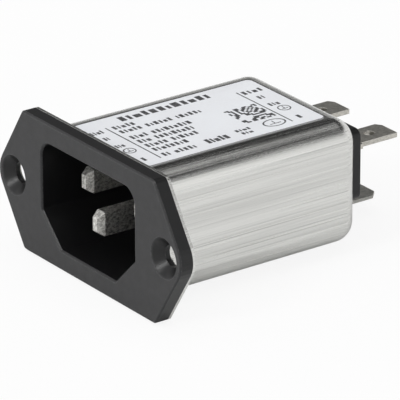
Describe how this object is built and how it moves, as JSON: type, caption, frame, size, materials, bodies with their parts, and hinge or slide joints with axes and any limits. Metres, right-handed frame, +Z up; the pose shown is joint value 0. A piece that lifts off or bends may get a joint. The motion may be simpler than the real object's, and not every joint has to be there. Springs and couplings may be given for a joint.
{
  "type": "emi line filter",
  "caption": "Chassis-mount mains line filter: black moulded C14 inlet on a screw flange, drawn metal can behind it, quick-connect tabs at the rear, choke and capacitors inside.",
  "frame": {"origin": "midway between the two screw holes, on the mounting face, which is the rear face of the can's flange plate", "axes": "+Y runs from the inlet to the rear tabs, so the inlet opens towards -Y; +Z is up, with the earth pin below the other two; +X is the side of the line pin"},
  "size_m": [0.0484, 0.0539, 0.0232],
  "materials": {
    "black_nylon": "satin black glass-filled nylon",
    "plated_steel": "bright nickel-plated drawn sheet with faint draw lines",
    "pin_plating": "bright nickel-plated brass",
    "terminal_nylon": "satin black nylon",
    "tab_plating": "satin tin-plated brass",
    "tinned_steel": "satin tinned sheet",
    "label_film": "semi-gloss white film, no text",
    "ferrite": "matt dark grey ferrite",
    "natural_nylon": "matt natural nylon",
    "enamelled_copper": "glossy enamelled copper wire",
    "yellow_case": "glossy yellow moulded case",
    "blue_epoxy": "glossy blue epoxy coat",
    "resistor_lacquer": "beige lacquer",
    "lead_wire": "tinned copper",
    "sleeve_film": "matt insulating board"
  },
  "bodies": {
    "root": {"inlet_housing": "black_nylon", "can": "plated_steel", "pin_line": "pin_plating", "pin_neutral": "pin_plating", "pin_earth": "pin_plating", "terminal_plate": "terminal_nylon", "tab_line": "tab_plating", "tab_neutral": "tab_plating", "tab_earth": "tinned_steel", "rating_label": "label_film", "choke_core": "ferrite", "choke_web": "natural_nylon", "winding_line": "enamelled_copper", "winding_neutral": "enamelled_copper", "x_capacitor": "yellow_case", "x_leads": "lead_wire", "y_capacitor_line": "blue_epoxy", "y_capacitor_neutral": "blue_epoxy", "y_leads_line": "lead_wire", "y_leads_neutral": "lead_wire", "bleed_resistor": "resistor_lacquer", "resistor_leads": "lead_wire", "earth_strap": "lead_wire", "insulating_sleeve": "sleeve_film"}
  },
  "joints": []
}
